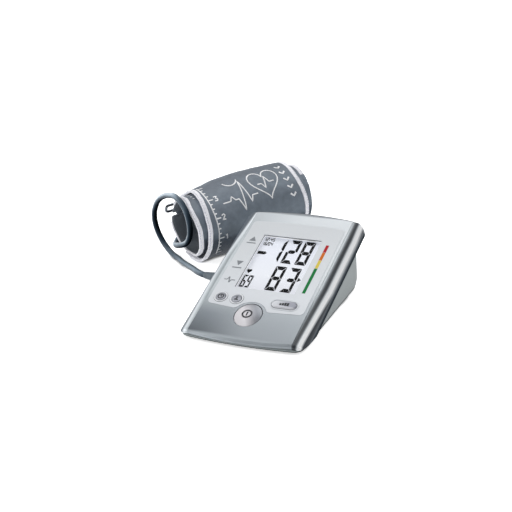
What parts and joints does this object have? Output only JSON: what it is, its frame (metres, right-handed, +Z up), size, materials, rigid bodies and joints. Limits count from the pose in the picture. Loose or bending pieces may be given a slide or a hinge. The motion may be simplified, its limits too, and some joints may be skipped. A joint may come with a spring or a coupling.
{
  "type": "blood pressure monitor",
  "caption": "Desk blood pressure monitor with a sloping display face, push buttons and battery bay, joined by an air hose to a wrapped arm cuff.",
  "frame": {"origin": "middle of the footprint of monitor and cuff together, on the table", "axes": "+X to the user's right along the monitor's front edge, +Y from the user's side towards the back, +Z up; the face slopes up towards +Y at 18.17 degrees and the cuff's axis lies 59 degrees from +X towards +Y"},
  "size_m": [0.247, 0.299, 0.0793],
  "materials": {
    "housing_silver": "satin metallic paint",
    "base_grey": "fine texture",
    "label_silver": "satin printed foil",
    "lens_clear": "clear",
    "lcd_glass": "satin",
    "white_plastic": "moulded",
    "board_green": "solder mask",
    "button_silver": "satin metallic paint",
    "black_plastic": "moulded",
    "motor_steel": "rolled",
    "spring_steel": "nickel plated",
    "cell_wrap": "plain shrink wrap",
    "screw_steel": "dark zinc",
    "foot_rubber": "matt",
    "tube_rubber": "smooth",
    "hose_rubber": "smooth, slightly glossy",
    "cuff_nylon": "woven nylon",
    "cuff_inside": "brushed nylon",
    "binding_tape": "ribbed tape",
    "hook_tape": "hook tape",
    "bladder_film": "thin sheet",
    "ring_chrome": "polished wire"
  },
  "bodies": {
    "monitor_and_cuff": {"upper_housing": "housing_silver", "face_label": "label_silver", "display_lens": "lens_clear", "lcd_panel": "lcd_glass", "lcd_holder": "white_plastic", "main_board": "board_green", "board_post_1": "white_plastic", "board_post_2": "white_plastic", "board_post_3": "white_plastic", "board_post_4": "white_plastic", "power_switch": "black_plastic", "clock_switch": "black_plastic", "user_switch": "black_plastic", "memory_switch": "black_plastic", "sounder": "black_plastic", "pressure_sensor": "white_plastic", "lower_housing": "base_grey", "battery_1": "cell_wrap", "battery_2": "cell_wrap", "battery_3": "cell_wrap", "battery_4": "cell_wrap", "contact_front_1": "spring_steel", "contact_front_2": "spring_steel", "contact_front_3": "spring_steel", "contact_rear_1": "spring_steel", "contact_rear_2": "spring_steel", "case_screw_1": "screw_steel", "case_screw_2": "screw_steel", "case_screw_3": "screw_steel", "case_screw_4": "screw_steel", "foot_1": "foot_rubber", "foot_2": "foot_rubber", "foot_3": "foot_rubber", "foot_4": "foot_rubber", "pump_head": "white_plastic", "pump_motor": "motor_steel", "release_valve": "black_plastic", "air_jack": "base_grey", "air_junction": "white_plastic", "inner_air_tube": "tube_rubber", "cuff_lining": "cuff_inside", "air_bladder": "bladder_film", "cuff_cover": "cuff_nylon", "inner_tape_left": "binding_tape", "inner_tape_right": "binding_tape", "cuff_flap": "cuff_nylon", "flap_tape_left": "binding_tape", "flap_tape_right": "binding_tape", "hook_patch": "hook_tape", "d_ring": "ring_chrome", "ring_sleeve": "cuff_nylon", "cuff_elbow": "hose_rubber", "hose_plug": "hose_rubber", "air_hose": "hose_rubber"},
    "power_cap": {"power_button": "button_silver"},
    "clock_cap": {"clock_button": "button_silver"},
    "user_cap": {"user_button": "button_silver"},
    "memory_cap": {"memory_button": "button_silver"},
    "battery_door": {"battery_cover": "base_grey"}
  },
  "joints": [
    {"name": "power_press", "type": "slide", "parent": "monitor_and_cuff", "child": "power_cap", "axis": [0, 0.3118, -0.9501], "range_m": [0, 0.0008], "stiffness_N_per_m": 1800},
    {"name": "clock_press", "type": "slide", "parent": "monitor_and_cuff", "child": "clock_cap", "axis": [0, 0.3118, -0.9501], "range_m": [0, 0.0008], "stiffness_N_per_m": 1500},
    {"name": "user_press", "type": "slide", "parent": "monitor_and_cuff", "child": "user_cap", "axis": [0, 0.3118, -0.9501], "range_m": [0, 0.0008], "stiffness_N_per_m": 1500},
    {"name": "memory_press", "type": "slide", "parent": "monitor_and_cuff", "child": "memory_cap", "axis": [0, 0.3118, -0.9501], "range_m": [0, 0.0008], "stiffness_N_per_m": 1500},
    {"name": "battery_door_slide", "type": "slide", "parent": "monitor_and_cuff", "child": "battery_door", "axis": [0, 1, 0], "range_m": [0, 0.064]}
  ]
}
